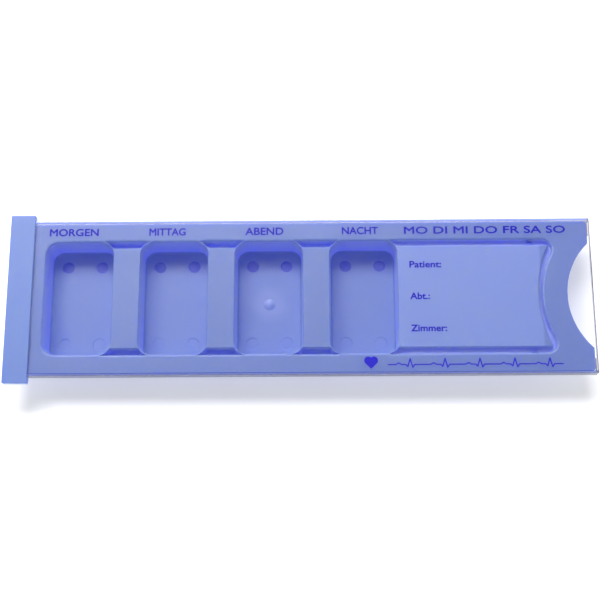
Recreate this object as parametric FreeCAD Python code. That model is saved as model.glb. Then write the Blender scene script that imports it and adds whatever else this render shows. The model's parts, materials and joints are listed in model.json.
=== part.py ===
import FreeCAD, Part

import math
import os

# One-day medication dispenser tray: four pill cups hang below a flat deck, a raised name panel
# fills the right half, and a clear lid wraps the deck's long edges and slides off to the right.
#
# Units are millimetres.  +X runs along the tray towards the thumb notch, +Y towards the back,
# +Z up.  The origin is the centre of the whole object's footprint, on the surface it stands on.

# ---------------------------------------------------------------- driving dimensions
TOTAL_LENGTH = 190.7        # end bar's outer face to the lid's free end
LID_WIDTH = 51.9
BAR_LENGTH = 56.4           # the end bar, measured across the tray
BAR_WIDTH = 8.1
LID_OVERHANG = 0.7          # how far the lid passes the tray's right end

CUP_NAMES = ["morning", "noon", "evening", "night"]
CUP_WIDTH = 22.2            # inside, at the rim
CUP_HALF_SPAN = 18.9        # inside, from the centreline to the back or front wall
CUP_PITCH = 31.1
CUP_DEPTH = 10.3
CUP_CORNER = 4.2            # inside corner radius at the rim
CUP_DRAFT = 0.4             # how much each inside wall leans in over the cup's depth
FIRST_CUP_X = -83.3         # left inside wall of the morning cup
CUP_FLOOR_RADIUS = 0.8      # where the inside walls meet the floor
CUP_FOOT_RADIUS = 1.2       # where the outside walls meet the underside
CUP_RIM_RADIUS = 0.35       # softened top edge of the inside
WALL = 0.9
FLOOR = 1.2

DECK_THICKNESS = 1.5
DECK_CORNER = 1.2           # the two free corners beside the thumb notch
WELL_DEPTH = 4.0            # blind slots at both ends of the bridges between cups
WELL_INNER = 17.0           # bridge's end, from the centreline
WELL_OUTER = 19.1
STRIP_EDGE_RADIUS = 0.3     # softened ends of the bridges
MOAT_DEPTH = 2.2            # the groove round the name panel
MOAT_RIGHT = 79.0           # its outer edge, on the centreline
MOAT_RADIUS = 30.0          # its hollow right end
MOAT_CORNER = 3.4
PANEL_HALF_SPAN = 17.1
PANEL_RIGHT = 78.3          # right edge of the name panel, on the centreline
PANEL_RADIUS = 41.9         # hollow right end of the panel, flatter than the groove's
PANEL_SOFT_EDGE = 1.1       # rounding of the name panel's right edge
NOTCH_RADIUS = 24.3         # thumb notch in the tray's right end
NOTCH_DEPTH = 7.5

LID_PLATE = 1.2
LID_EDGE_RADIUS = 0.2
LID_SIDE = 0.7
LIP_WIDTH = 5.3
LIP_THICKNESS = 0.9
SLIDE_GAP = 0.15            # between the lid and every face of the deck that it slides on
BAR_GAP = 0.1               # between the shut lid and the bar that stops it
BAR_RISE = 0.1              # how far the bar stands above the lid
BAR_CORNER = 0.6
BAR_EDGE_RADIUS = 0.3
BAR_SKIN = 1.3              # the bar is cored from below: its outer walls,
BAR_RIB = 1.0               # the ribs across it,
BAR_POCKETS = 5             # and the pockets between them

PIN_MARK_RADIUS = 2.1       # round marks that the mould's ejector pins leave in each cup floor
PIN_MARK_DEPTH = 0.2
PIN_MARK_X = 5.7
PIN_MARK_Y = 13.3
GATE_RADIUS = 2.0           # low dome over the gate, in the evening cup
GATE_HEIGHT = 0.5
GATE_STUB_RADIUS = 0.8      # what is left of the runner, in a shallow well under the floor
GATE_STUB_HEIGHT = 0.3
GATE_WELL_DEPTH = 0.4

CARD_SLOT_X = 75.0          # two small stops hold a name card; each has a dent beside it
CARD_SLOT_WIDTH = 1.75
CARD_SLOT_GAP = 0.15        # between the slot and the panel's edge
CARD_SLOT_DEPTH = 0.5       # below the groove's floor
CARD_NUB_REACH = 0.45
CARD_NUB_DROP = 0.5         # from the deck's top to the stop's top

INK = 0.03                  # thickness of the printing on the lid
CAP_HEIGHT = 2.6            # time-of-day words
FORM_CAP_HEIGHT = 2.3       # words of the name panel
STROKE = 0.42
FORM_STROKE = 0.36
BOLD_STROKE = 0.5

# ---------------------------------------------------------------- derived places
LEFT = -TOTAL_LENGTH / 2
RIGHT = TOTAL_LENGTH / 2
BAR_RIGHT = LEFT + BAR_WIDTH
TRAY_RIGHT = RIGHT - LID_OVERHANG
DECK_TOP = FLOOR + CUP_DEPTH
DECK_UNDER = DECK_TOP - DECK_THICKNESS
LID_HALF = LID_WIDTH / 2
DECK_HALF = LID_HALF - LID_SIDE - SLIDE_GAP
LID_UNDER = DECK_TOP + SLIDE_GAP
LID_TOP = LID_UNDER + LID_PLATE
LIP_TOP = DECK_UNDER - SLIDE_GAP
LIP_UNDER = LIP_TOP - LIP_THICKNESS
BAR_TOP = LID_TOP + BAR_RISE
CUP_LEFTS = [FIRST_CUP_X + CUP_PITCH * i for i in range(len(CUP_NAMES))]
MOAT_FLOOR = DECK_TOP - MOAT_DEPTH
INTO_CUP = 3.0              # how far deck outlines run in under a cup before the cup cuts them


def at(x, y, z=0.0):
    return FreeCAD.Vector(x, y, z)


def box(x0, x1, y0, y1, z0, z1):
    """A plain block between two corners."""
    return Part.makeBox(x1 - x0, y1 - y0, z1 - z0, at(x0, y0, z0))


def rounded_rectangle(x0, x1, half_span, radius, z):
    """A closed wire: a rectangle centred on y = 0 with four equal round corners."""
    edges = []
    corners = [
        (x1 - radius, half_span - radius, 0),
        (x0 + radius, half_span - radius, 90),
        (x0 + radius, radius - half_span, 180),
        (x1 - radius, radius - half_span, 270),
    ]
    ends = []
    for x, y, start in corners:
        circle = Part.Circle(at(x, y, z), at(0, 0, 1), radius)
        arc = Part.ArcOfCircle(circle, math.radians(start), math.radians(start + 90))
        ends.append((arc, arc.value(arc.FirstParameter), arc.value(arc.LastParameter)))
    for i, (arc, _, finish) in enumerate(ends):
        following = ends[(i + 1) % len(ends)][1]
        edges.append(arc.toShape())
        edges.append(Part.LineSegment(finish, following).toShape())
    return Part.Wire(edges)


def edges_at_height(shape, z):
    """The shape's edges that lie in the horizontal plane z."""
    found = []
    for edge in shape.Edges:
        b = edge.BoundBox
        if abs(b.ZMin - z) < 1e-4 and abs(b.ZMax - z) < 1e-4:
            found.append(edge)
    return found


def prism(wire, z0, z1):
    """The wire's flat face, raised from z0 to z1."""
    face = Part.Face(wire)
    face.translate(at(0, 0, z0 - wire.BoundBox.ZMin))
    return face.extrude(at(0, 0, z1 - z0))


# ---------------------------------------------------------------- cups
def drafted_block(left, grow, z0, z1):
    """The space inside a cup, or its outside when grow is the wall: walls lean in downwards."""
    wires = []
    for z in (z0, z1):
        inset = CUP_DRAFT * (DECK_TOP - z) / CUP_DEPTH - grow
        wires.append(
            rounded_rectangle(
                left + inset,
                left + CUP_WIDTH - inset,
                CUP_HALF_SPAN - inset,
                CUP_CORNER - inset,
                z,
            )
        )
    return Part.makeLoft(wires, True, True)


def cup_outside(left):
    return drafted_block(left, WALL, 0.0, DECK_TOP)


def cup(left, gated):
    """An open cup with a rounded floor edge, a softened rim and four round pin marks."""
    outside = cup_outside(left)
    outside = outside.makeFillet(CUP_FOOT_RADIUS, edges_at_height(outside, 0.0))
    inside = drafted_block(left, 0.0, FLOOR, DECK_TOP)
    inside = inside.makeFillet(CUP_FLOOR_RADIUS, edges_at_height(inside, FLOOR))
    shell = outside.cut(inside)
    middle = left + CUP_WIDTH / 2
    for x in (middle - PIN_MARK_X, middle + PIN_MARK_X):
        for y in (-PIN_MARK_Y, PIN_MARK_Y):
            mark = Part.makeCylinder(PIN_MARK_RADIUS, FLOOR, at(x, y, FLOOR - PIN_MARK_DEPTH))
            shell = shell.cut(mark)
    if gated:
        shell = with_gate(shell, middle)
    rim = [e for e in edges_at_height(shell, DECK_TOP) if is_inner_rim(e, left)]
    return shell.makeFillet(CUP_RIM_RADIUS, rim)


def is_inner_rim(edge, left):
    """True for the rim edges of the cup's inside, not those that meet the deck."""
    b = edge.BoundBox
    slack = 1e-3
    within_x = b.XMin > left - slack and b.XMax < left + CUP_WIDTH + slack
    within_y = b.YMin > -CUP_HALF_SPAN - slack and b.YMax < CUP_HALF_SPAN + slack
    return within_x and within_y


def with_gate(shell, middle):
    """The gate's low dome inside the cup, and the shallow round well under the floor for its stub."""
    sphere_radius = (GATE_RADIUS**2 + GATE_HEIGHT**2) / (2 * GATE_HEIGHT)
    sphere = Part.makeSphere(sphere_radius, at(middle, 0, FLOOR + GATE_HEIGHT - sphere_radius))
    room = box(middle - WALL * 4, middle + WALL * 4, -WALL * 4, WALL * 4, FLOOR / 2, DECK_UNDER)
    dome = sphere.common(room)
    stub_well = Part.makeCylinder(GATE_RADIUS, GATE_WELL_DEPTH, at(middle, 0, 0))
    stub_base = at(middle, 0, GATE_WELL_DEPTH - GATE_STUB_HEIGHT)
    stub = Part.makeCylinder(GATE_STUB_RADIUS, GATE_STUB_HEIGHT, stub_base)
    return shell.fuse(dome).cut(stub_well).fuse(stub).removeSplitter()


# ---------------------------------------------------------------- deck and what it carries
def concave_end(left, half_span, right, radius, corner, z):
    """A panel outline whose right edge is hollow: a circle of that radius reaches x = right."""
    centre_x = right + radius
    if corner:
        # a round corner touches the straight side and the hollow circle from outside
        cy = half_span - corner
        cx = centre_x - math.sqrt((radius + corner) ** 2 - cy**2)
        touch = at(cx, half_span, z)
        toward = at(centre_x - cx, -cy, 0).normalize()
        meet = at(cx, cy, z) + toward * corner
        middle = at(cx, cy, z) + (at(0, 1, 0) + toward).normalize() * corner
    else:
        touch = meet = at(centre_x - math.sqrt(radius**2 - half_span**2), half_span, z)
        middle = None
    below = [at(p.x, -p.y, p.z) for p in (touch, meet)]
    edges = [
        Part.LineSegment(at(left, -half_span, z), at(left, half_span, z)).toShape(),
        Part.LineSegment(at(left, half_span, z), touch).toShape(),
        Part.Arc(meet, at(right, 0, z), below[1]).toShape(),
        Part.LineSegment(below[0], at(left, -half_span, z)).toShape(),
    ]
    if middle is not None:
        edges.insert(2, Part.Arc(touch, middle, meet).toShape())
        edges.insert(4, Part.Arc(below[1], at(middle.x, -middle.y, z), below[0]).toShape())
    return Part.Wire(Part.sortEdges(edges)[0])


def panel_left():
    """A place inside the night cup, where every panel outline starts before it is cut."""
    return CUP_LEFTS[-1] + CUP_WIDTH - INTO_CUP


def moat_outline(grow):
    """The moat's outer edge, or that edge pushed outwards by grow."""
    corner = MOAT_CORNER + grow
    return concave_end(
        panel_left(), WELL_OUTER + grow, MOAT_RIGHT + grow, MOAT_RADIUS - grow, corner, 0.0
    )


def panel_outline(shrink):
    """The name panel's edge, or that edge drawn inwards by shrink."""
    return concave_end(
        panel_left(),
        PANEL_HALF_SPAN - shrink,
        PANEL_RIGHT - shrink,
        PANEL_RADIUS + shrink,
        0,
        0.0,
    )


def cut_by_cups(shape):
    for left in CUP_LEFTS:
        shape = shape.cut(cup_outside(left))
    return shape


def bridge_span(i):
    """The stretch between two cups, reaching a little way into both of their walls."""
    return CUP_LEFTS[i] + CUP_WIDTH - INTO_CUP, CUP_LEFTS[i + 1] + INTO_CUP


def notch():
    centre = at(TRAY_RIGHT - NOTCH_DEPTH + NOTCH_RADIUS, 0, 0)
    return Part.makeCylinder(NOTCH_RADIUS, LID_TOP, centre)


def deck_frame():
    """The flat plate that the lid runs on, open where the cups, bridges and name panel sit."""
    plate = box(BAR_RIGHT, TRAY_RIGHT, -DECK_HALF, DECK_HALF, DECK_UNDER, DECK_TOP)
    right_corners = [
        e for e in plate.Edges if e.BoundBox.XMin > TRAY_RIGHT - 1e-3 and e.BoundBox.ZLength > 1
    ]
    plate = plate.makeFillet(DECK_CORNER, right_corners)
    plate = plate.cut(notch())
    for i in range(len(CUP_LEFTS) - 1):
        x0, x1 = bridge_span(i)
        plate = plate.cut(box(x0, x1, -WELL_OUTER, WELL_OUTER, DECK_UNDER, DECK_TOP))
    plate = plate.cut(prism(moat_outline(0.0), DECK_UNDER, DECK_TOP))
    return cut_by_cups(plate)


def bridge(i):
    """The flat strip between two cups, level with the deck."""
    x0, x1 = bridge_span(i)
    strip = box(x0, x1, -WELL_INNER, WELL_INNER, DECK_UNDER, DECK_TOP)
    strip = cut_by_cups(strip)
    ends = [e for e in edges_at_height(strip, DECK_TOP) if e.BoundBox.YLength < 1e-3]
    return strip.makeFillet(STRIP_EDGE_RADIUS, ends)


def bridge_well(i, side):
    """A blind slot at one end of a bridge: a floor and two low walls between the cups."""
    x0, x1 = bridge_span(i)
    floor_top = DECK_TOP - WELL_DEPTH
    y0, y1 = sorted((side * (WELL_INNER - WALL), side * (WELL_OUTER + WALL)))
    block = box(x0, x1, y0, y1, floor_top - WALL, DECK_UNDER)
    y0, y1 = sorted((side * WELL_INNER, side * WELL_OUTER))
    return cut_by_cups(block.cut(box(x0, x1, y0, y1, floor_top, DECK_UNDER)))


def card_slot(side):
    """The small dent in the groove's floor beside a card stop."""
    panel_side = PANEL_HALF_SPAN + CARD_SLOT_GAP
    y0, y1 = sorted((side * panel_side, side * (WELL_OUTER - CARD_NUB_REACH)))
    x0, x1 = CARD_SLOT_X, CARD_SLOT_X + CARD_SLOT_WIDTH
    return box(x0, x1, y0, y1, MOAT_FLOOR - CARD_SLOT_DEPTH, DECK_UNDER)


def name_panel():
    """The write-on plate, level with the deck, with a soft right edge."""
    plate = prism(panel_outline(0.0), DECK_UNDER, DECK_TOP).cut(cup_outside(CUP_LEFTS[-1]))
    hollow_edge = [
        e for e in edges_at_height(plate, DECK_TOP) if e.BoundBox.XMin > PANEL_RIGHT - 1e-3
    ]
    return plate.makeFillet(PANEL_SOFT_EDGE, hollow_edge)


def panel_moat():
    """The groove round the name panel: its floor, and the low walls under deck and panel."""
    under = MOAT_FLOOR - WALL
    body = prism(moat_outline(WALL), under, DECK_UNDER)
    body = body.cut(prism(panel_outline(WALL), under, DECK_UNDER))
    gap = prism(moat_outline(0.0), MOAT_FLOOR, DECK_UNDER)
    gap = gap.cut(prism(panel_outline(0.0), MOAT_FLOOR, DECK_UNDER))
    body = body.cut(gap).cut(cup_outside(CUP_LEFTS[-1]))
    for side in (-1, 1):
        body = body.cut(card_slot(side))
    return body


def card_nub(side):
    """A small stop on the moat's outer wall that keeps a name card on the panel."""
    y0, y1 = sorted((side * (WELL_OUTER - CARD_NUB_REACH), side * WELL_OUTER))
    x0, x1 = CARD_SLOT_X, CARD_SLOT_X + CARD_SLOT_WIDTH
    return box(x0, x1, y0, y1, DECK_UNDER, DECK_TOP - CARD_NUB_DROP)


def end_bar():
    """The wide bar that stops the lid and serves as a grip, cored out from below."""
    half = BAR_LENGTH / 2
    block = box(LEFT, BAR_RIGHT, -half, half, DECK_UNDER, BAR_TOP)
    upright = [
        e for e in block.Edges if e.BoundBox.ZLength > 1 and e.BoundBox.XMax < LEFT + 1e-3
    ]
    block = block.makeFillet(BAR_CORNER, upright)
    block = block.makeFillet(BAR_EDGE_RADIUS, edges_at_height(block, BAR_TOP))
    ribs = BAR_POCKETS - 1
    width = (BAR_LENGTH - 2 * BAR_SKIN - ribs * BAR_RIB) / BAR_POCKETS
    x0, x1 = LEFT + BAR_SKIN, BAR_RIGHT - BAR_SKIN
    for i in range(BAR_POCKETS):
        y0 = -half + BAR_SKIN + i * (width + BAR_RIB)
        block = block.cut(box(x0, x1, y0, y0 + width, DECK_UNDER, BAR_TOP - BAR_SKIN))
    return block


# ---------------------------------------------------------------- lid
LID_LEFT = BAR_RIGHT + BAR_GAP


def lid_window():
    """The clear plate that covers the deck."""
    plate = box(LID_LEFT, RIGHT, -LID_HALF, LID_HALF, LID_UNDER, LID_TOP)
    return plate.makeFillet(LID_EDGE_RADIUS, edges_at_height(plate, LID_TOP))


def lid_wall(side):
    """One upright side of the lid, down past the deck's edge."""
    y0, y1 = sorted((side * (LID_HALF - LID_SIDE), side * LID_HALF))
    return box(LID_LEFT, RIGHT, y0, y1, LIP_UNDER, LID_UNDER)


def lid_lip(side):
    """The lip that turns in under the deck and holds the lid on."""
    y0, y1 = sorted((side * (LID_HALF - LIP_WIDTH), side * (LID_HALF - LID_SIDE)))
    return box(LID_LEFT, RIGHT, y0, y1, LIP_UNDER, LIP_TOP)


# ---------------------------------------------------------------- printing on the lid
def bow(cx, cy, rx, ry, start, finish):
    """Points of an elliptic arc, one about every 30 degrees."""
    steps = max(2, round(abs(finish - start) / 30))
    angles = [math.radians(start + (finish - start) * k / steps) for k in range(steps + 1)]
    return [(cx + rx * math.cos(a), cy + ry * math.sin(a)) for a in angles]


# Each letter: its width and its pen strokes, in units of the capital height.  A stroke never
# closes on itself: a round letter is drawn in two halves.
LETTERS = {
    "A": (0.74, [[(0, 0), (0.37, 1), (0.74, 0)], [(0.13, 0.33), (0.61, 0.33)]]),
    "B": (0.62, [
        [(0, 0), (0, 1)],
        [(0, 1), (0.36, 1)] + bow(0.36, 0.76, 0.22, 0.24, 90, -90) + [(0, 0.52)],
        [(0, 0), (0.36, 0)] + bow(0.36, 0.26, 0.26, 0.26, -90, 90),
    ]),
    "C": (0.74, [bow(0.38, 0.5, 0.38, 0.5, 45, 315)]),
    "D": (0.70, [[(0, 0), (0, 1)], [(0, 1), (0.3, 1)] + bow(0.3, 0.5, 0.4, 0.5, 90, -90) + [(0, 0)]]),
    "E": (0.62, [[(0.62, 1), (0, 1), (0, 0), (0.62, 0)], [(0, 0.52), (0.56, 0.52)]]),
    "F": (0.56, [[(0.56, 1), (0, 1), (0, 0)], [(0, 0.52), (0.48, 0.52)]]),
    "G": (0.78, [bow(0.39, 0.5, 0.39, 0.5, 45, 335) + [(0.76, 0.46), (0.44, 0.46)]]),
    "H": (0.70, [[(0, 0), (0, 1)], [(0.7, 0), (0.7, 1)], [(0, 0.52), (0.7, 0.52)]]),
    "I": (0.0, [[(0, 0), (0, 1)]]),
    "M": (0.80, [[(0, 0), (0, 1), (0.4, 0.12), (0.8, 1), (0.8, 0)]]),
    "N": (0.70, [[(0, 0), (0, 1), (0.7, 0), (0.7, 1)]]),
    "O": (0.80, [bow(0.4, 0.5, 0.4, 0.5, 90, 270), bow(0.4, 0.5, 0.4, 0.5, -90, 90)]),
    "P": (0.62, [
        [(0, 0), (0, 1)],
        [(0, 1), (0.36, 1)] + bow(0.36, 0.74, 0.26, 0.26, 90, -90) + [(0, 0.48)],
    ]),
    "R": (0.68, [
        [(0, 0), (0, 1)],
        [(0, 1), (0.38, 1)] + bow(0.38, 0.75, 0.25, 0.25, 90, -90) + [(0, 0.5)],
        [(0.34, 0.5), (0.68, 0)],
    ]),
    "S": (0.62, [bow(0.31, 0.75, 0.28, 0.25, 25, 270) + bow(0.31, 0.25, 0.3, 0.25, 90, -155)]),
    "T": (0.68, [[(0, 1), (0.68, 1)], [(0.34, 1), (0.34, 0)]]),
    "Z": (0.62, [[(0, 1), (0.62, 1), (0, 0), (0.62, 0)]]),
    "a": (0.46, [
        bow(0.24, 0.5, 0.22, 0.2, 150, 0) + [(0.46, 0)],
        bow(0.23, 0.2, 0.23, 0.2, 60, 300),
    ]),
    "b": (0.48, [[(0, 1), (0, 0)], bow(0.24, 0.35, 0.24, 0.35, 150, -150)]),
    "e": (0.48, [[(0.02, 0.36), (0.48, 0.36)], bow(0.24, 0.35, 0.24, 0.35, 0, 310)]),
    "i": (0.0, [[(0, 0), (0, 0.7)], [(0, 0.95), (0, 1)]]),
    "m": (0.80, [
        [(0, 0), (0, 0.7)],
        bow(0.2, 0.5, 0.2, 0.2, 180, 0) + [(0.4, 0)],
        bow(0.6, 0.5, 0.2, 0.2, 180, 0) + [(0.8, 0)],
    ]),
    "n": (0.42, [[(0, 0), (0, 0.7)], bow(0.21, 0.49, 0.21, 0.21, 180, 0) + [(0.42, 0)]]),
    "r": (0.24, [[(0, 0), (0, 0.7)], bow(0.22, 0.46, 0.22, 0.24, 180, 80)]),
    "t": (0.24, [[(0.1, 0.95), (0.1, 0.1), (0.24, 0)], [(0, 0.7), (0.24, 0.7)]]),
    ".": (0.0, [[(0, 0), (0, 0.04)]]),
    ":": (0.0, [[(0, 0), (0, 0.04)], [(0, 0.6), (0, 0.64)]]),
}
LETTER_GAP = 0.3
WORD_GAP = 0.75


def round_ended_bar(start, finish, width):
    """The closed outline of one straight pen stroke: two long sides and two half circles."""
    along = (finish - start).normalize() * (width / 2)
    across = at(-along.y, along.x)
    edges = [
        Part.LineSegment(start - across, finish - across).toShape(),
        Part.Arc(finish - across, finish + along, finish + across).toShape(),
        Part.LineSegment(finish + across, start + across).toShape(),
        Part.Arc(start + across, start - along, start - across).toShape(),
    ]
    return Part.Wire(edges)


def pen_stroke(points, width):
    """A film of ink along an open line of points, as wide as the pen and round at its ends."""
    line = points[:1]
    for p in points[1:]:
        if (p - line[-1]).Length > 1e-6:
            line.append(p)
    if len(line) == 2:
        outline = round_ended_bar(line[0], line[1], width)
    else:
        outline = Part.makePolygon(line).makeOffset2D(width / 2, 0, False, False, False)
    return ink_film(outline)


def ink_film(outline):
    """A closed flat outline raised to the ink's thickness, on top of the lid."""
    film = Part.Face(outline).extrude(at(0, 0, INK))
    film.translate(at(0, 0, LID_TOP))
    return film


def joined(films):
    """Overlapping films as one solid."""
    if len(films) == 1:
        return films[0]
    return films[0].multiFuse(films[1:]).removeSplitter()


def word(text, x0, x1, base_y, height, stroke):
    """A word in pen strokes, fitted between x0 and x1 on a baseline: one solid per letter."""
    placed = []
    advance = 0.0
    for letter in text:
        if letter == " ":
            advance += WORD_GAP
            continue
        width, strokes = LETTERS[letter]
        placed.append((advance, strokes))
        advance += width + LETTER_GAP
    half = stroke / 2
    scale_x = (x1 - x0 - stroke) / (advance - LETTER_GAP)
    scale_y = height - stroke
    letters = []
    for start, strokes in placed:
        films = []
        for points in strokes:
            line = [
                at(x0 + half + (start + px) * scale_x, base_y + half + py * scale_y)
                for px, py in points
            ]
            films.append(pen_stroke(line, stroke))
        letters.append(joined(films))
    return Part.makeCompound(letters)


def heart(x, y, size):
    """A plain heart: two round lobes on a square that stands on its corner."""
    lobe = size / 4 * 1.06
    side = lobe * 2
    tip = at(x, y)
    right = tip + at(side, side) * math.sqrt(0.5)
    left = tip + at(-side, side) * math.sqrt(0.5)
    top = tip + at(0, side * math.sqrt(2))
    right_lobe = Part.Arc(right, right_of(top, right, lobe), top).toShape()
    left_lobe = Part.Arc(top, right_of(left, top, lobe), left).toShape()
    edges = [
        Part.LineSegment(left, tip).toShape(),
        Part.LineSegment(tip, right).toShape(),
        right_lobe,
        left_lobe,
    ]
    return ink_film(Part.Wire(edges))


def right_of(start, finish, reach):
    """The point that far to the right of the middle of a line, looking from finish to start."""
    along = (finish - start).normalize()
    return (start + finish) / 2 + at(-along.y, along.x) * reach


def pulse_line(x0, x1, y, height, beats):
    """A heartbeat trace: flat runs with a small and a tall spike in each beat."""
    pitch = (x1 - x0) / beats
    beat = [(0, 0), (0.22, 0), (0.3, 0.28), (0.38, 0), (0.5, 0), (0.56, -0.35), (0.63, 1)]
    beat += [(0.7, -0.5), (0.76, 0)]
    points = []
    for k in range(beats):
        points += [at(x0 + (k + px) * pitch, y + py * height) for px, py in beat]
    points.append(at(x1, y))
    return pen_stroke(points, STROKE)


TIME_WORDS = [
    ("morning", "MORGEN", -82.3, -66.1),
    ("noon", "MITTAG", -49.4, -37.3),
    ("evening", "ABEND", -17.7, -5.1),
    ("night", "NACHT", 14.1, 26.0),
]
TIME_BASE_Y = 20.85
FORM_WORDS = [
    ("patient", "Patient:", 46.4, 9.3),
    ("ward", "Abt.:", 42.4, -1.4),
    ("room", "Zimmer:", 47.6, -12.1),
]
FORM_X = 36.0
FOOT_Y = -24.3              # lowest point of the heart, on the lid's front margin


def printing():
    """Every printed legend as its own thin solid on top of the lid."""
    legends = {}
    for name, text, x0, x1 in TIME_WORDS:
        legends["print_" + name] = word(text, x0, x1, TIME_BASE_Y, CAP_HEIGHT, STROKE)
    for name, text, x1, y in FORM_WORDS:
        legends["print_" + name] = word(text, FORM_X, x1, y, FORM_CAP_HEIGHT, FORM_STROKE)
    legends["print_weekdays"] = word(
        "MO DI MI DO FR SA SO", 34.5, 87.4, TIME_BASE_Y, CAP_HEIGHT, BOLD_STROKE
    )
    legends["print_heart"] = heart(22.95, FOOT_Y, 4.9)
    legends["print_pulse_line"] = pulse_line(28.4, 84.1, -22.9, 1.9, 5)
    return legends


# ---------------------------------------------------------------- the whole object
def all_parts():
    parts = {"deck_frame": deck_frame(), "end_bar": end_bar()}
    for name, left in zip(CUP_NAMES, CUP_LEFTS):
        parts[name + "_cup"] = cup(left, gated=name == "evening")
    for i in range(len(CUP_LEFTS) - 1):
        parts[f"bridge_{i + 1}"] = bridge(i)
        parts[f"bridge_well_{i + 1}_back"] = bridge_well(i, 1)
        parts[f"bridge_well_{i + 1}_front"] = bridge_well(i, -1)
    parts["name_panel"] = name_panel()
    parts["panel_moat"] = panel_moat()
    parts["card_nub_back"] = card_nub(1)
    parts["card_nub_front"] = card_nub(-1)
    parts["lid_window"] = lid_window()
    for place, side in (("back", 1), ("front", -1)):
        parts[f"lid_{place}_wall"] = lid_wall(side)
        parts[f"lid_{place}_lip"] = lid_lip(side)
    parts.update(printing())
    return parts


os.makedirs("parts", exist_ok=True)
for node, shape in all_parts().items():
    shape.exportStep(f"parts/{node}.step")
    print(f"{node:22s} valid {shape.isValid()}  volume {shape.Volume:10.3f} mm3")
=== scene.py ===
# %% [markdown]
# # A one-day medication tray with a clear sliding lid
# The object is two injection mouldings and some printing. A pale blue polypropylene tray carries
# four pill cups, a raised name panel and a grip bar. A clear polystyrene lid wraps the deck's long
# edges and slides off to the right. The words are pad-printed on the lid.
#
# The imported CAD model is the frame: every size and place below is read from its boxes, in metres.

import json
import math

import bpy
import numpy as np
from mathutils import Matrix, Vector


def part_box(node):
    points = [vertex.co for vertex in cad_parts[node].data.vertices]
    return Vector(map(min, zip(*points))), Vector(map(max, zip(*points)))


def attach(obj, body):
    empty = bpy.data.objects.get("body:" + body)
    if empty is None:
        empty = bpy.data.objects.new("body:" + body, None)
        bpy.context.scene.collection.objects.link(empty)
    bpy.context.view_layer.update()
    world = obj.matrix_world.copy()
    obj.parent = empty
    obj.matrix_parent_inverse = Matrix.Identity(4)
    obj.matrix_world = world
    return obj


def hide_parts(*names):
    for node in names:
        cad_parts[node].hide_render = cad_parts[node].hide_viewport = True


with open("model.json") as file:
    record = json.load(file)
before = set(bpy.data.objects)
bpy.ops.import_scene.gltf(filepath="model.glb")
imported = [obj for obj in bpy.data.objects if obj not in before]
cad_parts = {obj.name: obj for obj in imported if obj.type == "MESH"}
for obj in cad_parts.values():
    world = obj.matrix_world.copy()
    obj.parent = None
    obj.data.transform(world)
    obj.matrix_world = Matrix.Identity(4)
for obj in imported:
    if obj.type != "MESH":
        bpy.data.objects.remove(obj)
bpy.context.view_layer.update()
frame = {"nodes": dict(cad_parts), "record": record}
mm = 0.001


# %% [markdown]
# ## Sizes that the pieces share
# The deck, the cups and the bridges are all cut from one flat plate, so a few boxes give nearly
# everything: the deck's two faces, the cups' outsides and the wells at the bridges' ends. Only the
# wall thickness and the small radii of the mould are stated here, because no box can show them.

# %% Read the boxes
deck_low, deck_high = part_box("deck_frame")
bar_low, bar_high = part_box("end_bar")
panel_low, panel_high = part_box("name_panel")
moat_low, moat_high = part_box("panel_moat")
window_low, window_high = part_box("lid_window")
cup_boxes = [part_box(time + "_cup") for time in ("morning", "noon", "evening", "night")]
well_boxes = [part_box(f"bridge_well_{i}_{end}") for i in (1, 2, 3) for end in ("back", "front")]

wall = 0.9 * mm
thin_rim = 0.35 * mm
cup_floor = 1.2 * mm
cup_corner = 4.2 * mm
cup_draft = 0.4 * mm
deck_top = deck_high.z
deck_under = deck_low.z
cup_depth = deck_top - cup_floor
cup_width = cup_boxes[0][1].x - cup_boxes[0][0].x - 2 * wall
print("deck", deck_under, deck_top, "cup inside", cup_width, cup_depth)


# %% [markdown]
# ## Outlines
# Every solid of the tray is a flat outline with a profile carried along it, the way a router bit
# follows a template. So an outline holds two arrays: its points, and at each point the direction
# that points out of it. Moving the points along those directions grows or shrinks the outline
# evenly, round corners included.

# %% Rounded rectangles, circles and the hollow-ended panel
def direction(angle):
    """(cos a, sin a) for each angle a."""
    return np.stack([np.cos(angle), np.sin(angle)], axis=-1)


def rounded_outline(low_x, high_x, low_y, high_y, radius, steps=12):
    """Corner centre + radius * (cos a, sin a), with a running a quarter turn at each corner."""
    normals = direction(np.linspace(0, np.pi / 2, steps) + np.arange(4)[:, None] * np.pi / 2)
    x = np.array([high_x - radius, low_x + radius, low_x + radius, high_x - radius])
    y = np.array([high_y - radius, high_y - radius, low_y + radius, low_y + radius])
    centres = np.stack([x, y], axis=-1)[:, None, :]
    return (centres + radius * normals).reshape(-1, 2), normals.reshape(-1, 2)


def circle_outline(x, y, radius, steps=48):
    """Centre + radius * (cos a, sin a) for a full turn."""
    normals = direction(np.linspace(0, 2 * np.pi, steps, endpoint=False))
    return np.array([x, y]) + radius * normals, normals


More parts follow.
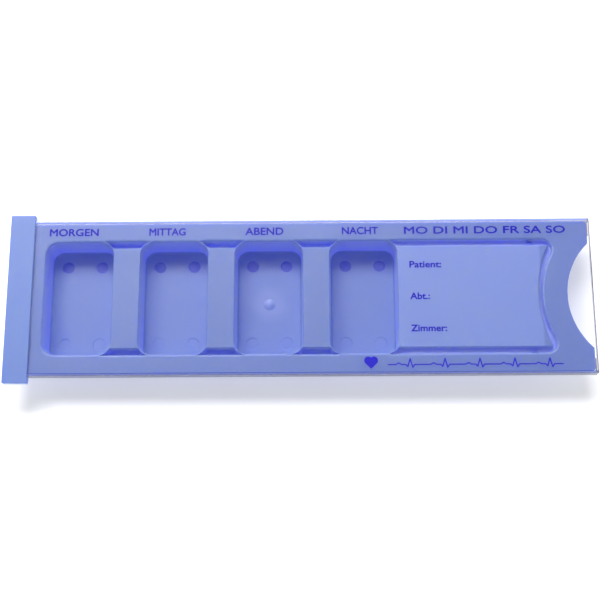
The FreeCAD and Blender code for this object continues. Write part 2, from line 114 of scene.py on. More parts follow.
def hollow_ended_outline(left, half, right, radius, corner, steps=10):
    """Straight sides at y = -half and +half, and a right end that is an arc bent inwards.

    The arc's circle has its centre at (right + radius, 0). A round corner of the given radius
    touches a side and that circle, so its centre is radius + corner away from the circle's.
    """
    hollow_x = right + radius
    corner_y = half - corner
    corner_x = hollow_x - math.sqrt((radius + corner) ** 2 - corner_y**2)
    lean = math.atan2(corner_y, hollow_x - corner_x)
    lower = np.linspace(-np.pi / 2, lean, steps)
    upper = -lower[::-1]
    hollow = np.linspace(np.pi + lean, np.pi - lean, 4 * steps)[1:-1]
    points = np.concatenate([
        [[left, half], [left, -half]],
        [corner_x, -corner_y] + corner * direction(lower),
        [hollow_x, 0] + radius * direction(hollow),
        [corner_x, corner_y] + corner * direction(upper),
    ])
    normals = np.concatenate([
        [[0, 1], [0, -1]], direction(lower), -direction(hollow), direction(upper),
    ])
    return points, normals


print("one outline has", len(rounded_outline(0, 1, 0, 1, 0.1)[0]), "points")


# %% [markdown]
# ## From outline to solid
# A profile is a list of steps: how far out of the outline, and at what height. Each step makes one
# ring of points, quads join each ring to the next, and a flat face closes each end. Solids stay
# plain arrays until they are needed, so that several can go into one mesh.

# %% Carry a profile along an outline
def skin_faces(levels, count):
    """Point i of ring k, its neighbour i + 1, and the same two in ring k + 1 make one quad."""
    here = np.arange(count)
    after = (here + 1) % count
    base = np.arange(levels - 1)[:, None] * count
    quads = np.stack([base + here, base + after, base + count + after, base + count + here], -1)
    ends = [here[::-1].tolist(), (here + (levels - 1) * count).tolist()]
    return quads.reshape(-1, 4).tolist() + ends


def solid(outline, outwards, heights):
    """Ring k is the outline moved outwards[k] along its normals, at heights[k]."""
    points, normals = outline
    outwards = np.asarray(outwards, float).reshape(len(heights), -1, 1)
    flat = points + outwards * normals
    z = np.broadcast_to(np.asarray(heights, float)[:, None, None], flat.shape[:2] + (1,))
    rings = np.concatenate([flat, z], axis=2)
    return rings.reshape(-1, 3), skin_faces(*rings.shape[:2])


def block(low_x, high_x, low_y, high_y, low_z, high_z):
    """A plain block, as an outline with no rounding to speak of."""
    outline = rounded_outline(low_x, high_x, low_y, high_y, 0.02 * mm, steps=2)
    return solid(outline, [0, 0], [low_z, high_z])


def mesh_piece(name, solids):
    """Several solids as one object: their points follow each other, and faces are renumbered."""
    vertices, faces, start = [], [], 0
    for points, corners in solids:
        vertices.append(points)
        faces += [[start + i for i in face] for face in corners]
        start += len(points)
    mesh = bpy.data.meshes.new(name)
    mesh.from_pydata(np.concatenate(vertices).tolist(), [], faces)
    mesh.update()
    piece = bpy.data.objects.new(name, mesh)
    bpy.context.scene.collection.objects.link(piece)
    return piece


print("a plain block has", len(block(0, 1, 0, 1, 0, 1)[1]), "faces")


# %% [markdown]
# ## Round edges
# A moulded edge is never sharp. A convex edge is a quarter of an ellipse, and the same quarter
# serves a hole's rim, which opens outwards, and a solid's rim, which draws in. The reach may differ
# from point to point: here the rim is broad where a cup meets the deck, and fine where it meets a
# bridge or a well. The weights nx*nx and ny*ny add up to one, so sides blend evenly round a corner.

# %% Quarter-round profiles
quarter = np.linspace(0, np.pi / 2, 6)
strip_edge = 0.3 * mm
deck_edge = 0.8 * mm
rim_depth = 0.45 * mm


def side_reach(outline, left, right, ends, fade=(2, 2)):
    """Reach = left or right * nx^2 + ends * |ny|^fade, so fade says how soon a corner gets fine."""
    x, y = outline[1].T
    sides = np.where(x < 0, left, right) * x**2
    return sides + ends * np.abs(y) ** np.where(x < 0, *fade)


def hole_rim(reach, depth, top):
    """Out by reach * (1 - cos a) while rising by depth * sin a, then straight up past the top."""
    rise = top - depth + depth * np.sin(quarter)
    out = np.outer(1 - np.cos(quarter), reach)
    return np.vstack([out, out[-1:]]), np.append(rise, top + mm)


def solid_rim(reach, depth, top):
    """In by reach * (1 - cos a) while rising by depth * sin a, up to the flat top."""
    return -np.outer(1 - np.cos(quarter), reach), top - depth + depth * np.sin(quarter)


def from_below(low, rim):
    """The rim's profile with one more ring straight under its first one, at the low height."""
    out, rise = rim
    return np.vstack([out[:1], out]), np.append(low, rise)


def edged_solid(outline, low, top, radius):
    """A solid with upright sides whose top edge is rounded by the given radius."""
    rim = solid_rim(np.full(len(outline[0]), radius), radius, top)
    return solid(outline, *from_below(low, rim))


print("rims reach", strip_edge, "at a bridge and", deck_edge, "at the deck")


# %% [markdown]
# ## The tray's plates and blocks
# The tray is built up as its mould would see it. First come the volumes that are plastic: the deck
# plate, the grip bar, and the blocks under the wells and under the groove round the name panel. The
# groove's right end is an arc bent inwards, and so is the panel's, each with a radius of its own.

# %% Plate, bar and blocks
notch_radius = 24.3 * mm
notch_depth = 7.5 * mm
moat_radius = 30.0 * mm
moat_corner = 3.4 * mm
panel_radius = 41.9 * mm
panel_corner = 0.4 * mm
overlap = 0.5 * mm
well_outer = max(high.y for low, high in well_boxes) - wall
well_depth = deck_top - min(low.z for low, high in well_boxes) - wall
well_floor = deck_top - well_depth
moat_depth = deck_top - moat_low.z - wall
moat_floor = deck_top - moat_depth
panel_half = panel_high.y
panel_right = panel_high.x + math.sqrt(panel_radius**2 - panel_half**2) - panel_radius
panel_left = cup_boxes[3][1].x - wall - 3 * mm

deck_outline = rounded_outline(
    bar_high.x - 2 * mm, deck_high.x, deck_low.y, deck_high.y, 1.2 * mm
)
corner_reach = math.sqrt((moat_radius + moat_corner) ** 2 - (well_outer - moat_corner) ** 2)
moat_right = moat_high.x - wall - moat_corner + corner_reach - moat_radius
moat_outline = hollow_ended_outline(panel_left, well_outer, moat_right, moat_radius, moat_corner)
deck_plate = edged_solid(deck_outline, deck_under, deck_top, 0.2 * mm)
bar_outline = rounded_outline(bar_low.x, bar_high.x, bar_low.y, bar_high.y, 0.3 * mm, steps=6)
grip_bar = edged_solid(bar_outline, deck_under, bar_high.z, 0.25 * mm)
moat_block = solid(moat_outline, [wall, wall], [moat_low.z, deck_under + overlap])
well_blocks = [
    block(low.x, high.x, low.y, high.y, low.z, deck_under + overlap) for low, high in well_boxes
]
print("groove depth", moat_depth, "well depth", well_depth, "panel half span", panel_half)


# %% [markdown]
# ## The cups' outsides and the name panel
# A cup could be a box with Solidify, but its wall isn't even: it thins out to a ridge where only
# the rim stands between the cup and a well. So the outer skin gets a profile of its own. The name
# panel is a plug that stands in the groove. Its edge is soft on all sides and gets fine towards
# the two sharp tips at the right, where a broad edge would run past the corner's radius.

# %% Cups and name panel
def cup_outline(i):
    """The inside edge of cup i, at the rim."""
    low, high = cup_boxes[i]
    return rounded_outline(low.x + wall, high.x - wall, low.y + wall, high.y - wall, cup_corner)


def cup_middle(i):
    """Halfway between the low and the high X of cup i."""
    low, high = cup_boxes[i]
    return (low.x + high.x) / 2


def cup_outside(i):
    """A quarter-round foot, a wall that leans out by the draft, and a thin upper part."""
    foot = 1.2 * mm
    rise = np.append(foot - foot * np.cos(quarter), [well_floor, deck_under, deck_top])
    tuck = np.append(foot - foot * np.sin(quarter), [0, wall - thin_rim, wall - thin_rim])
    lean = cup_draft * (deck_top - rise) / cup_depth
    return solid(cup_outline(i), wall - lean - tuck, rise)


panel_outline = hollow_ended_outline(
    panel_left, panel_half, panel_right, panel_radius, panel_corner
)
from_side = panel_half - np.abs(panel_outline[0][:, 1])
panel_reach = 0.3 * mm + 0.8 * mm * np.minimum(1, from_side / (4 * mm))
panel_rim = solid_rim(panel_reach, 0.9 * mm, deck_top)
name_panel = solid(panel_outline, *from_below(moat_floor - 0.3 * mm, panel_rim))
print("a cup's outside has", len(cup_outside(0)[0]), "points")


# %% [markdown]
# ## The tray's hollows
# Then come the volumes that are air: the cups' insides, the wells, the groove, the thumb notch, and
# the recess behind the name panel. The first cup meets the deck at its left side, so its rim is
# broad there, and the other cups have a bridge on both sides.

# %% Cups, wells, groove and notch
def cup_inside(i):
    """Floor fillet, drafted wall and rim: the rim is broad on the deck and fine at a bridge."""
    outline = cup_outline(i)
    fillet = 0.8 * mm
    foot_rise = cup_floor + fillet - fillet * np.cos(quarter)
    foot_lean = cup_draft * (deck_top - foot_rise) / cup_depth
    foot_out = -(fillet - fillet * np.sin(quarter)) - foot_lean
    first = i == 0
    left = deck_edge if first else strip_edge
    reach = side_reach(outline, left, strip_edge, deck_edge, fade=(2 if first else 30, 30))
    rim_out, rim_rise = hole_rim(reach, rim_depth, deck_top)
    foot = np.repeat(foot_out[:, None], rim_out.shape[1], axis=1)
    return solid(outline, np.vstack([foot, rim_out]), np.append(foot_rise, rim_rise))


def well_hollow(low, high):
    """A blind slot: fine edge towards the bridge's end, broad edge towards the deck."""
    far = max(abs(low.y), abs(high.y)) - wall
    near = min(abs(low.y), abs(high.y)) + wall
    side = np.sign(low.y)
    y0, y1 = sorted((side * near, side * far))
    outline = rounded_outline(low.x, high.x, y0, y1, 0.3 * mm, steps=4)
    y = outline[1][:, 1] * side
    reach = strip_edge * np.maximum(-y, 0) ** 2 + deck_edge * np.maximum(y, 0) ** 2
    return solid(outline, *from_below(well_floor, hole_rim(reach, rim_depth, deck_top)))


moat_rim = hole_rim(np.full(len(moat_outline[0]), deck_edge), rim_depth, deck_top)
moat_hollow = solid(moat_outline, *from_below(moat_floor, moat_rim))
notch_steps = 160
notch_edge = 0.25 * mm
notch_outline = circle_outline(
    deck_high.x - notch_depth + notch_radius, 0, notch_radius, notch_steps
)
notch_rim = hole_rim(np.full(notch_steps, notch_edge), notch_edge, deck_top)
notch_hollow = solid(notch_outline, *from_below(0, notch_rim))
recess_outline = hollow_ended_outline(
    panel_left, panel_half - wall, panel_right - wall, panel_radius + wall, panel_corner
)
panel_recess = solid(recess_outline, [0, 0], [moat_low.z - mm, deck_under])
print("notch", notch_depth, "deep,", len(well_boxes), "wells")


# %% [markdown]
# ## Pockets and card stops
# A thick bar would sink in as it cools, so it is cored from below into five pockets with ribs
# between them. Two small stops in the groove hold the name card down. Each is rooted half a wall
# deep in the groove's outer side, and has a small dent beside it.

# %% Pockets, stops and dents
stop_boxes = [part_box("card_nub_back"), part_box("card_nub_front")]


def bar_pockets():
    """Five pockets cored into the bar from below, with ribs between them."""
    skin, rib, count = 1.3 * mm, 1.0 * mm, 5
    width = (bar_high.y - bar_low.y - 2 * skin - (count - 1) * rib) / count
    starts = bar_low.y + skin + np.arange(count) * (width + rib)
    top = bar_high.z - skin
    sides = (bar_low.x + skin, bar_high.x - skin)
    return [block(*sides, y, y + width, deck_under - mm, top) for y in starts]


def card_slots():
    """The small dent in the groove's floor beside each card stop, back and front."""
    slots = []
    for low, high in stop_boxes:
        side = np.sign(low.y)
        stop = min(abs(low.y), abs(high.y))
        y0, y1 = sorted((side * (panel_half + 0.15 * mm), side * stop))
        slots.append(block(low.x, high.x, y0, y1, moat_floor - 0.5 * mm, deck_under))
    return slots


def deepen(corner):
    """Half a wall outwards, if the corner is at the groove's outer side."""
    return wall / 2 if abs(corner.y) > well_outer - 0.1 * mm else 0


card_stops = [
    block(low.x, high.x, low.y - deepen(low), high.y + deepen(high), low.z, high.z)
    for low, high in stop_boxes
]
print(len(bar_pockets()), "pockets,", len(card_stops), "card stops")


# %% [markdown]
# ## Marks of the mould
# An ejector pin leaves a shallow round dent, four to a cup. The pins at the back sit deeper. The
# plastic enters through one gate, under the evening cup: it leaves a low dome in the cup and a
# round recess below, which keeps the gate's stub off the table.

# %% Pin marks and gate
pin_radius = 2.1 * mm
pin_from_middle = (5.7 * mm, 13.3 * mm)
front_pin, back_pin = 0.2 * mm, 0.4 * mm
gate_radius = 2.0 * mm
gate_height = 0.35 * mm


def pin_marks():
    """Round dents in the cup floors, with sides that slope by half their depth."""
    marks = []
    step_x, step_y = pin_from_middle
    for i in range(4):
        for x in (cup_middle(i) - step_x, cup_middle(i) + step_x):
            for y, depth in ((-step_y, front_pin), (step_y, back_pin)):
                outline = circle_outline(x, y, pin_radius, 32)
                heights = [cup_floor - depth, cup_floor + depth]
                marks.append(solid(outline, [-depth / 2, depth / 2], heights))
    return marks


def gate_dome():
    """A cap of a sphere: at angle a from its top, out by R sin a and down by R (1 - cos a).

    It starts a little below the floor, so that it is rooted there, and ends just off its top.
    """
    sphere = (gate_radius**2 + gate_height**2) / (2 * gate_height)
    rooted, almost_top = 1.15, 0.02
    angle = np.linspace(rooted * math.asin(gate_radius / sphere), almost_top, 12)
    rise = cup_floor + gate_height - sphere * (1 - np.cos(angle))
    outline = circle_outline(cup_middle(2), 0, gate_radius)
    return solid(outline, sphere * np.sin(angle) - gate_radius, rise)


def gate_well():
    """A plain round recess, 0.4 mm deep, from below."""
    return solid(circle_outline(cup_middle(2), 0, gate_radius), [0, 0], [-mm, 0.4 * mm])


print(len(pin_marks()), "pin marks and one gate")


# %% [markdown]
# ## One moulding
# The boolean modifier joins the volumes, which gives one closed skin without seams, as the real
# moulding has. That matters for a translucent plastic, where light runs inside the wall. Each step
# adds or removes several solids at once. The manifold solver is used: many faces lie in the same
# plane here, and it always gives a closed skin. Between steps the result is made a plain mesh.

# %% Join and carve
def combine(piece, operation, solids):
    """Union or difference with the solids, and the result stored as the piece's own mesh."""
    tool = mesh_piece("tool", solids)
    cut = piece.modifiers.new("combine", "BOOLEAN")
    cut.operation = operation
    cut.solver = "MANIFOLD"
    cut.object = tool
    graph = bpy.context.evaluated_depsgraph_get()
    result = bpy.data.meshes.new_from_object(piece.evaluated_get(graph))
    piece.modifiers.clear()
    piece.data = result
    bpy.data.objects.remove(tool)
    print(operation.lower(), len(solids), "solids:", len(result.polygons), "faces")


tray = mesh_piece("tray_moulding", [deck_plate])
combine(tray, "UNION", [grip_bar, moat_block] + well_blocks)
combine(tray, "DIFFERENCE", [well_hollow(*b) for b in well_boxes] + [moat_hollow, notch_hollow])
combine(tray, "UNION", [name_panel] + card_stops)
combine(tray, "DIFFERENCE", [panel_recess])
combine(tray, "UNION", [cup_outside(i) for i in range(4)])
combine(tray, "DIFFERENCE", [cup_inside(i) for i in range(4)])
combine(tray, "DIFFERENCE", bar_pockets() + card_slots() + pin_marks() + [gate_well()])
combine(tray, "UNION", [gate_dome()])

tray_nodes = list(frame["record"]["behaviour"]["bodies"]["tray"])
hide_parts(*tray_nodes)
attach(tray, "tray")


# %% [markdown]
# ## Smooth shading
# Rounded edges should look round, while a mould's crisp lines stay crisp. Faces that meet at less
# than a given angle are shaded as one surface, and the large flat ones keep their own direction.

# %% Shade it smooth
def smooth_but_crisp(piece, degrees):
    """Smooth shading that breaks at edges sharper than that angle, led by the large flat faces."""
    piece.data.polygons.foreach_set("use_smooth", [True] * len(piece.data.polygons))
    piece.data.set_sharp_from_angle(angle=math.radians(degrees))
    weighted = piece.modifiers.new("flat faces lead", "WEIGHTED_NORMAL")
    weighted.keep_sharp = True
    weighted.weight = 100


smooth_but_crisp(tray, 32)
print("tray shaded, crisp beyond 32 degrees")


# %% [markdown]
# ## The lid
# The lid is one cross-section carried along the tray: a flat window, two upright sides, and two
# lips that turn in under the deck. Its corners are small curves between a point just before and a
# point just after each corner.

# %% A channel section carried along X
def softened(corners, reach, steps=5):
    """Each corner P becomes A(1-t)^2 + 2Pt(1-t) + Bt^2, with A and B on its two sides."""
    before = np.roll(corners, 1, axis=0) - corners
    after = np.roll(corners, -1, axis=0) - corners
    a = corners + reach * before / np.linalg.norm(before, axis=1, keepdims=True)
    b = corners + reach * after / np.linalg.norm(after, axis=1, keepdims=True)
    t = np.linspace(0, 1, steps)[None, :, None]
    curve = a[:, None] * (1 - t) ** 2 + 2 * corners[:, None] * t * (1 - t) + b[:, None] * t**2
    return curve.reshape(-1, 2)


lip_low, lip_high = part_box("lid_back_lip")
half = window_high.y
side_in = lip_high.y
lip_in = lip_low.y
half_section = np.array([
    [half, lip_low.z], [half, window_high.z], [-half, window_high.z], [-half, lip_low.z],
    [-lip_in, lip_low.z], [-lip_in, lip_high.z], [-side_in, lip_high.z], [-side_in, window_low.z],
    [side_in, window_low.z], [side_in, lip_high.z], [lip_in, lip_high.z], [lip_in, lip_low.z],
])


def channel(section, low_x, high_x, bevel):
    """The section at four stations along X: just at each end, and a bevel's width from it."""
    stations = np.array([low_x, low_x + bevel, high_x - bevel, high_x])
    x = np.repeat(stations, len(section))[:, None]
    vertices = np.hstack([x, np.tile(section, (len(stations), 1))])
    return vertices, skin_faces(len(stations), len(section))


lid_section = softened(half_section, 0.18 * mm)
lid = mesh_piece("lid_moulding", [channel(lid_section, window_low.x, window_high.x, 0.2 * mm)])
smooth_but_crisp(lid, 40)
lid_nodes = [n for n in frame["record"]["behaviour"]["bodies"]["lid"] if n.startswith("lid_")]
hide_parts(*lid_nodes)
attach(lid, "lid")
print("lid stands for", lid_nodes)


# %% [markdown]
# ## The printing
# The words are pad-printed: a soft pad picks the ink up from an etched plate and rolls it onto the
# plastic. They are flat, a few hundredths of a millimetre thick, with slightly soft edges. Each word
# is Blender's own plain font, turned into a mesh and stretched into the box of its CAD node, so it
# is as wide and as tall as there.

# %% Words from the built-in font
stroke_growth = 0.09 * mm


def letter_mesh(words):
    """The text in Blender's own font as points (scaled to a box from 0 to 1) and faces."""
    curve = bpy.data.curves.new("letters", "FONT")
    curve.body = words
    curve.extrude = 0.05
    curve.resolution_u = 4
    text = bpy.data.objects.new("letters", curve)
    bpy.context.scene.collection.objects.link(text)
    graph = bpy.context.evaluated_depsgraph_get()
    mesh = bpy.data.meshes.new_from_object(text.evaluated_get(graph))
    bpy.data.objects.remove(text)
    points = np.empty(len(mesh.vertices) * 3)
    mesh.vertices.foreach_get("co", points)
    points = points.reshape(-1, 3)
    faces = [list(face.vertices) for face in mesh.polygons]
    return (points - points.min(0)) / (points.max(0) - points.min(0)), faces


def printed_word(name, node, words):
    """Eight copies of the word, shifted a little round a circle, make its strokes bolder."""
    low, high = (np.array(corner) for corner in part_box(node))
    share, faces = letter_mesh(words)
    around = np.linspace(0, 2 * np.pi, 8, endpoint=False)
    shifts = stroke_growth * np.stack([np.cos(around), np.sin(around), np.zeros(8)], axis=-1)
    inset = np.array([stroke_growth, stroke_growth, 0])
    letters = low + inset + share * (high - low - 2 * inset)
    piece = mesh_piece(name, [(letters + shift, faces) for shift in shifts])
    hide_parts(node)
    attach(piece, "lid")
    return piece


words = {
    "morning": "MORGEN", "noon": "MITTAG", "evening": "ABEND", "night": "NACHT",
    "patient": "Patient:", "ward": "Abt.:", "room": "Zimmer:",
    "weekdays": "MO DI MI DO FR SA SO",
}
printing = [printed_word("ink_" + name, "print_" + name, text) for name, text in words.items()]
signs = [frame["nodes"]["print_heart"], frame["nodes"]["print_pulse_line"]]
print(len(printing), "words and", len(signs), "signs")


# %% [markdown]
# ## Materials: two helpers
# Colours are written as the hex values that a colour picker shows. Blender's shaders count in
# linear light, so one function converts them. The other adds a node, sets its inputs and links it.

# %% Colour and node helpers
def linear(hex_colour):
    """sRGB to linear: c / 12.92 below 0.04045, and ((c + 0.055) / 1.055) ** 2.4 above."""
    srgb = np.array([int(hex_colour[i:i + 2], 16) for i in (1, 3, 5)]) / 255
    value = np.where(srgb <= 0.04045, srgb / 12.92, ((srgb + 0.055) / 1.055) ** 2.4)
    return (*value.tolist(), 1.0)


def add_node(tree, kind, settings=None, inputs=None):
    """A node of that kind. An input that is a socket is linked, and any other value is set."""
    node = tree.nodes.new(kind)
    for key, value in (settings or {}).items():
        setattr(node, key, value)
    for key, value in (inputs or {}).items():
        if isinstance(value, bpy.types.NodeSocket):
            tree.links.new(value, node.inputs[key])
        else:
            node.inputs[key].default_value = value
    return node


def new_material(name):
    """An empty node material and its output node."""
    material = bpy.data.materials.new(name)
    material.use_nodes = True
    material.node_tree.nodes.clear()
    return material, material.node_tree, add_node(material.node_tree, "ShaderNodeOutputMaterial")


print("white is", linear("#ffffff"))


# %% [markdown]
# ## Tray: translucent polypropylene, injection moulded
# Polypropylene is milky by itself, and a little blue pigment makes it glow: light enters, scatters
# and comes out coloured. Thin walls down in the cups pass light that has already been through
# plastic, so they look deeper and more saturated than the deck. A renderer's scattering loses most
# of that light, so the deep parts are given a painted glow: they give off a little blue, strongest
# at the cup floors, and none is left at the deck.
#
# The colour is one list of layers, each laid over the ones before it where its share is 1: cup
# floors, walls, deck, bar, the deep pin marks, the paler patch round the gate, the write-on plate
# and the card stops. It is one plastic throughout, so these tones are mostly painted light and
# shade: everything above the cup floors is painted paler than the floors, the deck is painted a
# tone of its own, the bar is painted a shade darker, the back pin dents and the card stops are
# painted darker as shade, and the write-on plate is painted paler as light. The patch round the
# gate is paler towards the gate and fades out at four gate radii. The surface has the fine even
# texture of a spark-eroded mould, here drawn coarser, at 0.35 mm, and broad soft waves where the
# plastic shrank over thick and thin places.

# %% Polypropylene
def polypropylene():
    """Moulded translucent plastic: soft gloss, short scattering, colour by place on the tray."""
    material, tree, output = new_material("polypropylene_translucent_blue")
    place = add_node(tree, "ShaderNodeTexCoord").outputs["Object"]
    x, y, z = add_node(tree, "ShaderNodeSeparateXYZ", inputs={"Vector": place}).outputs
    from_gate = add_node(tree, "ShaderNodeVectorMath", {"operation": "DISTANCE"}, {
        0: place, 1: (cup_middle(2), 0, cup_floor),
    }).outputs["Value"]

    def region(*limits):
        """Smooth steps multiplied. A limit is a value, and where its step starts and ends."""
        share = 1.0
        for value, start, end in limits:
            step = add_node(tree, "ShaderNodeMapRange", {"interpolation_type": "SMOOTHSTEP"}, {
                "Value": value, "From Min": start, "From Max": end,
            }).outputs["Result"]
            share = add_node(tree, "ShaderNodeMath", {"operation": "MULTIPLY"}, {
                0: share, 1: step,
            }).outputs["Value"]
        return share

    def span(axis, low, high, fade=mm):
        """Two limits that rise up to the low end and fall from the high end."""
        return (axis, low - fade, low), (axis, high + fade, high)

    def near_stop(low, high):
        """The region of one card stop, which fades within a tenth of a millimetre."""
        return region(*span(x, low.x, high.x, 0.1 * mm), *span(y, low.y, high.y, 0.1 * mm))

    cloud = add_node(tree, "ShaderNodeTexNoise", inputs={
        "Vector": place, "Scale": 1 / (22 * mm), "Detail": 2.0, "Roughness": 0.45,
    }).outputs["Fac"]
    clouded = [("#788fb4", "#7d94b8"), ("#b0beea", "#b6c4ee"), ("#768fcf", "#7c95d3")]
    floors, walls, deck = [
        add_node(tree, "ShaderNodeMix", {"data_type": "RGBA"}, {
            "Factor": cloud, "A": linear(darker), "B": linear(paler),
        }).outputs["Result"]
        for darker, paler in clouded
    ]
    # paler towards the gate, fading out between one and four gate radii from it
    paler_round_gate = add_node(tree, "ShaderNodeMapRange", {"interpolation_type": "SMOOTHSTEP"}, {
        "Value": from_gate, "From Min": gate_radius, "From Max": 4 * gate_radius,
        "To Min": 0.35, "To Max": 0.0,
    }).outputs["Result"]
    # painted light: the write-on plate is painted paler than the deck round it
    plate = region(
        *span(x, panel_left, panel_right), *span(y, -panel_half, panel_half),
        (z, deck_top - 0.5 * mm, deck_top - 0.1 * mm),
    )
    layers = [
        # painted light: everything above the cup floors is painted paler than the floors, and the
        # deck gets its own tone above that
        (region((z, cup_floor + 0.1 * mm, cup_floor + 1.2 * mm)), walls),
        (region((z, deck_top - 0.7 * mm, deck_top - 0.05 * mm)), deck),
        # painted shade: the grip bar, which stands above the deck, is painted a shade darker
        (region((z, deck_top + 0.4 * mm, deck_top + 1.2 * mm)), linear("#6c85c2")),
        # painted shade: the floors of the deeper back pin dents, 0.6 to 0.88 mm up, are painted
        # darker
        (region((z, 0.5 * mm, 0.6 * mm), (z, 0.98 * mm, 0.88 * mm)), linear("#4458b0")),
        (paler_round_gate, linear("#a6b2cc")),
        (plate, linear("#8fa6e1")),
    ]
    # painted shade: each card stop is painted darker, as shade at the stop
    layers += [(near_stop(low, high), linear("#6276cc")) for low, high in stop_boxes]
    colour = floors
    for share, laid_over in layers:
        colour = add_node(tree, "ShaderNodeMix", {"data_type": "RGBA"}, {
            "Factor": share, "A": colour, "B": laid_over,
        }).outputs["Result"]

    grain = add_node(tree, "ShaderNodeTexNoise", inputs={
        "Vector": place, "Scale": 1 / (0.35 * mm), "Detail": 1.0,
    }).outputs["Fac"]
    waves = add_node(tree, "ShaderNodeTexNoise", inputs={
        "Vector": place, "Scale": 1 / (14 * mm), "Detail": 1.0,
    }).outputs["Fac"]
    rough = add_node(tree, "ShaderNodeMapRange", inputs={
        "Value": grain, "From Min": 0.3, "From Max": 0.7, "To Min": 0.36, "To Max": 0.46,
    }).outputs["Result"]
    sink = add_node(tree, "ShaderNodeBump", inputs={
        "Strength": 0.4, "Distance": 0.12 * mm, "Height": waves,
    }).outputs["Normal"]
    normal = add_node(tree, "ShaderNodeBump", inputs={
        "Strength": 0.25, "Distance": 0.02 * mm, "Height": grain, "Normal": sink,
    }).outputs["Normal"]
    # painted glow: blue emission, strongest at the cup floors and none at the deck, stands in for
    # light passing through the plastic
    piped = add_node(tree, "ShaderNodeMapRange", inputs={
        "Value": z, "From Min": cup_floor, "From Max": deck_top, "To Min": 0.20, "To Max": 0.0,
    }).outputs["Result"]
    plastic = add_node(tree, "ShaderNodeBsdfPrincipled", {"subsurface_method": "RANDOM_WALK"}, {
        "Base Color": colour, "Roughness": rough, "IOR": 1.49, "Normal": normal,
        "Subsurface Weight": 1.0, "Subsurface Radius": (0.5, 0.6, 2.0),
        "Subsurface Scale": 1.0 * mm,
        "Emission Color": linear("#2c46ff"), "Emission Strength": piped,
    })
    tree.links.new(plastic.outputs["BSDF"], output.inputs["Surface"])
    return material


tray.data.materials.clear()
tray.data.materials.append(polypropylene())
print("tray material", tray.data.materials[0].name)


# %% [markdown]
# ## Lid: clear polystyrene, injection moulded
# General-purpose polystyrene is glass-clear and refracts strongly (IOR 1.59). Handling leaves
# hairline scratches, drawn as noise that is stretched along the lid. Lamp light and the light that
# the tray scatters pass straight through the shader, so the tray below stays evenly lit.
#
# Looked at edge on, the plastic is no longer colourless: the upright sides pick up blue from the
# tray beside them, and the outermost edges draw thin grey lines. Both are given as a tint by place:
# the blue is painted light from the tray, and the grey lines are painted shade along the edges.

# %% Polystyrene
def polystyrene():
    """Clear glossy plastic with a tint at its sides, and plain see-through for lamp light."""
    material, tree, output = new_material("polystyrene_clear")
    place = add_node(tree, "ShaderNodeTexCoord").outputs["Object"]
    stretched = add_node(tree, "ShaderNodeMapping", inputs={
        "Vector": place, "Scale": (60.0, 1400.0, 60.0), "Rotation": (0, 0, math.radians(3)),
    }).outputs["Vector"]
    scratches = add_node(tree, "ShaderNodeTexNoise", inputs={
        "Vector": stretched, "Scale": 1.0, "Detail": 3.0, "Roughness": 0.7,
    }).outputs["Fac"]
    rough = add_node(tree, "ShaderNodeMapRange", inputs={
        "Value": scratches, "From Min": 0.45, "From Max": 0.75, "To Min": 0.03, "To Max": 0.12,
    }).outputs["Result"]
    x, y, z = add_node(tree, "ShaderNodeSeparateXYZ", inputs={"Vector": place}).outputs
    across = add_node(tree, "ShaderNodeMath", {"operation": "ABSOLUTE"}, {0: y}).outputs["Value"]
    starts = [
        (across, side_in - 0.2 * mm),
        (across, window_high.y - 0.25 * mm),
        (x, window_high.x - 0.4 * mm),
    ]
    in_side, outer_edge, end_edge = [
        add_node(tree, "ShaderNodeMapRange", inputs={
            "Value": value, "From Min": start, "From Max": start + 0.1 * mm,
        }).outputs["Result"]
        for value, start in starts
    ]
    # painted light and shade: blue inside the upright sides, grey along the outer edges and the
    # right end
    tint = linear("#fcfcfd")
    for share, colour in (
        (in_side, "#96a6ee"), (outer_edge, "#92909f"), (end_edge, "#92909f"),
    ):
        tint = add_node(tree, "ShaderNodeMix", {"data_type": "RGBA"}, {
            "Factor": share, "A": tint, "B": linear(colour),
        }).outputs["Result"]
    clear = add_node(tree, "ShaderNodeBsdfPrincipled", inputs={
        "Base Color": tint, "Roughness": rough, "IOR": 1.59,
        "Transmission Weight": 1.0,
    }).outputs["BSDF"]
    through = add_node(tree, "ShaderNodeBsdfTransparent", inputs={
        "Color": linear("#e7e8ee"),
    }).outputs["BSDF"]
    light = add_node(tree, "ShaderNodeLightPath").outputs
    lamp_or_glow = add_node(tree, "ShaderNodeMath", {"operation": "MAXIMUM"}, {
        0: light["Is Shadow Ray"], 1: light["Is Diffuse Ray"],
    }).outputs["Value"]
    mixed = add_node(tree, "ShaderNodeMixShader", inputs={0: lamp_or_glow, 1: clear, 2: through})
    tree.links.new(mixed.outputs["Shader"], output.inputs["Surface"])
    return material


lid.data.materials.append(polystyrene())
print("lid material", lid.data.materials[0].name)


# %% [markdown]
# ## Printing: solvent ink, pad-printed
# A deep violet-blue ink with a satin skin. A pad never lays ink quite evenly, so the colour is
# slightly mottled. The printing casts no shadow: a layer so thin and so close to the tray would
# only draw a blurred second word beside the first.

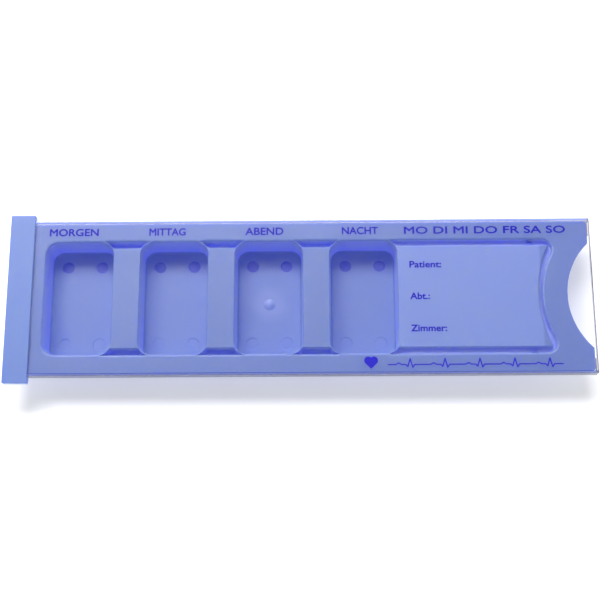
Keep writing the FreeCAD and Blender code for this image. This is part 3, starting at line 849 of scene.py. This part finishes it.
# %% Ink
def print_ink():
    """Satin violet-blue, mottled at the scale of half a millimetre."""
    material, tree, output = new_material("pad_printing_ink_violet_blue")
    place = add_node(tree, "ShaderNodeTexCoord").outputs["Object"]
    mottle = add_node(tree, "ShaderNodeTexNoise", inputs={
        "Vector": place, "Scale": 1 / (0.6 * mm), "Detail": 2.0,
    }).outputs["Fac"]
    colour = add_node(tree, "ShaderNodeMix", {"data_type": "RGBA"}, {
        "Factor": mottle, "A": linear("#0900ae"), "B": linear("#1005b8"),
    }).outputs["Result"]
    ink = add_node(tree, "ShaderNodeBsdfPrincipled", inputs={
        "Base Color": colour, "Roughness": 0.5, "IOR": 1.5, "Specular IOR Level": 0.3,
    })
    tree.links.new(ink.outputs["BSDF"], output.inputs["Surface"])
    return material


ink = print_ink()
for piece in printing + signs:
    piece.visible_shadow = False
    piece.data.materials.clear()
    piece.data.materials.append(ink)
print(len(printing + signs), "pieces printed")


# %% [markdown]
# ## Floor
# A sheet of white paper. It gives off a little light of its own, so that it reads as pure white
# right up to the tray.

# %% White floor
def paper():
    """Matt white with faint fibres, slightly lit from within."""
    material, tree, output = new_material("white_paper")
    place = add_node(tree, "ShaderNodeTexCoord").outputs["Object"]
    fibre = add_node(tree, "ShaderNodeTexNoise", inputs={
        "Vector": place, "Scale": 1 / (3 * mm), "Detail": 3.0,
    }).outputs["Fac"]
    colour = add_node(tree, "ShaderNodeMix", {"data_type": "RGBA"}, {
        "Factor": fibre, "A": linear("#f3f3f3"), "B": linear("#f8f8f8"),
    }).outputs["Result"]
    sheet = add_node(tree, "ShaderNodeBsdfPrincipled", inputs={
        "Base Color": colour, "Roughness": 0.9, "Specular IOR Level": 0.2,
        "Emission Color": colour, "Emission Strength": 0.30,
    })
    tree.links.new(sheet.outputs["BSDF"], output.inputs["Surface"])
    return material


floor_half = 3.0
floor_sides = (-floor_half, floor_half, -floor_half, floor_half)
floor = mesh_piece("floor", [block(*floor_sides, -0.01, -0.02 * mm)])
floor.data.materials.append(paper())
print("floor", 2 * floor_half, "m wide")


# %% [markdown]
# ## Light and camera
# One large softbox hangs behind the tray's left end, so the back left corner is the palest, and
# the lid mirrors the edge of the box there. The room is dark overhead and bright towards its
# sides: seen from above, the clear lid then mirrors the dark part and doesn't veil the tray. The
# camera looks down from the front, fifteen degrees from upright, with a long lens that keeps the
# tray nearly square.

# %% Lamp and room
def softbox(name, place, width, length, turn, watts):
    """An area lamp that hangs level and faces down, turned about the upright by some degrees."""
    lamp = bpy.data.lights.new(name, "AREA")
    lamp.shape = "RECTANGLE"
    lamp.size = width
    lamp.size_y = length
    lamp.energy = watts
    holder = bpy.data.objects.new(name, lamp)
    bpy.context.scene.collection.objects.link(holder)
    holder.location = place
    holder.rotation_euler = (0, 0, math.radians(turn))


softbox("softbox_back_left", (-0.30, 0.84, 1.15), 1.10, 0.60, 8, 30)
room = bpy.data.worlds.new("white_room")
room.use_nodes = True
sky = room.node_tree
towards = add_node(sky, "ShaderNodeTexCoord").outputs["Generated"]
upward = add_node(sky, "ShaderNodeSeparateXYZ", inputs={"Vector": towards}).outputs["Z"]
glow = add_node(sky, "ShaderNodeMapRange", {"interpolation_type": "SMOOTHSTEP"}, {
    "Value": upward, "From Min": 0.60, "From Max": 0.90, "To Min": 0.80, "To Max": 0.12,
}).outputs["Result"]
sky.links.new(glow, sky.nodes["Background"].inputs["Strength"])
sky.nodes["Background"].inputs["Color"].default_value = linear("#ffffff")
bpy.context.scene.world = room
bpy.context.scene.view_settings.view_transform = "Standard"
print("one softbox and a room")

# %% Camera
lens = bpy.data.cameras.new("camera")
lens.sensor_width = 36.0
lens.lens = 70.5
camera = bpy.data.objects.new("camera", lens)
bpy.context.scene.collection.objects.link(camera)
camera.location = (5.13 * mm, -99.95 * mm, 380.94 * mm)
camera.rotation_euler = (math.radians(14.989), math.radians(0.801), math.radians(-0.166))
bpy.context.scene.camera = camera
print("camera", camera.location[:])
